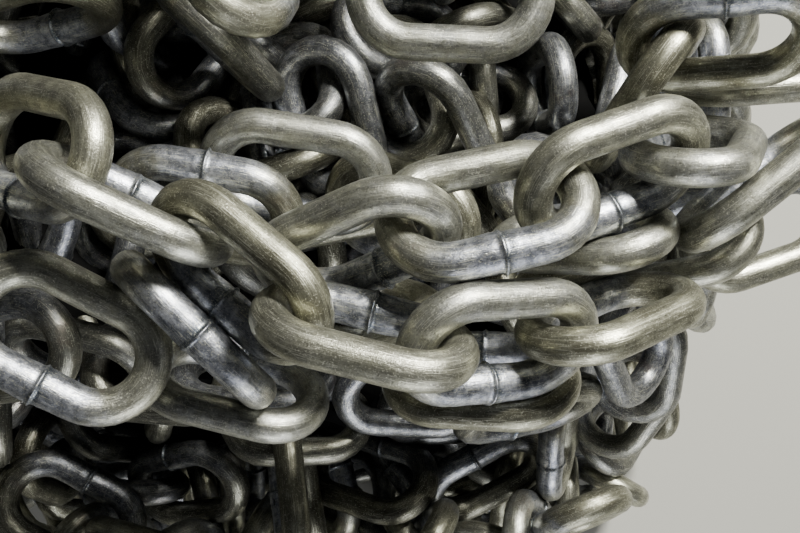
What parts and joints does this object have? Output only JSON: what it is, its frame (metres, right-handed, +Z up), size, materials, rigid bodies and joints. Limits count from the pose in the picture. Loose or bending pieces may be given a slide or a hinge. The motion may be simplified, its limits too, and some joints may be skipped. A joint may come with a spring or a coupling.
{
  "type": "heap of iron chain",
  "caption": "Heap of bare iron chain: round-bar oval links, each butt-welded in one side, piled in loose hooked runs.",
  "frame": {"origin": "centre of the heap's box at floor level", "axes": "+Z up from the floor, -Y towards the viewer of the picture, +X to the viewer's right"},
  "size_m": [0.595, 0.5344, 0.4503],
  "materials": {
    "chain_iron": "bare rolled steel with thin mill scale, rubbed bright on the high sides, blued beside each weld",
    "buried_iron": "the same bar, darker and dustier in the middle of the heap"
  },
  "bodies": {
    "root": {"back_flat_link": "chain_iron", "back_right_run_link_1": "chain_iron", "back_right_run_link_2": "chain_iron", "back_right_run_link_3": "chain_iron", "back_right_run_link_4": "chain_iron", "back_run_link_1": "chain_iron", "back_run_link_2": "chain_iron", "back_run_link_3": "chain_iron", "back_run_link_4": "chain_iron", "back_run_link_5": "chain_iron", "brow_link": "chain_iron", "buried_core": "buried_iron", "corner_link": "chain_iron", "cross_welded_link": "chain_iron", "front_left_run_link_1": "chain_iron", "front_left_run_link_2": "chain_iron", "front_left_run_link_3": "chain_iron", "front_link_1": "chain_iron", "front_link_2": "chain_iron", "front_link_3": "chain_iron", "front_link_4": "chain_iron", "front_link_5": "chain_iron", "front_link_6": "chain_iron", "hang_1_link": "chain_iron", "hang_2_link": "chain_iron", "hang_3_link": "chain_iron", "hang_4_link": "chain_iron", "hang_5_link": "chain_iron", "hang_6_link": "chain_iron", "hang_7_link": "chain_iron", "hang_8_link": "chain_iron", "left_lip_link": "chain_iron", "left_run_link_1": "chain_iron", "left_run_link_2": "chain_iron", "left_run_link_3": "chain_iron", "left_run_link_4": "chain_iron", "left_top_link": "chain_iron", "lip_link": "chain_iron", "mid_open_link": "chain_iron", "middle_link_1": "chain_iron", "middle_link_2": "chain_iron", "middle_link_3": "chain_iron", "middle_link_4": "chain_iron", "right_dark_link": "chain_iron", "right_link_1": "chain_iron", "right_link_2": "chain_iron", "right_run_link_1": "chain_iron", "right_run_link_2": "chain_iron", "right_run_link_3": "chain_iron", "right_top_link": "chain_iron", "shoulder_run_link_1": "chain_iron", "shoulder_run_link_2": "chain_iron", "shoulder_run_link_3": "chain_iron", "shoulder_run_link_4": "chain_iron", "tucked_link": "chain_iron", "upper_right_link_1": "chain_iron", "upper_right_link_2": "chain_iron", "welded_behind_link": "chain_iron", "welded_left_link": "chain_iron", "welded_steep_link": "chain_iron"}
  },
  "joints": []
}
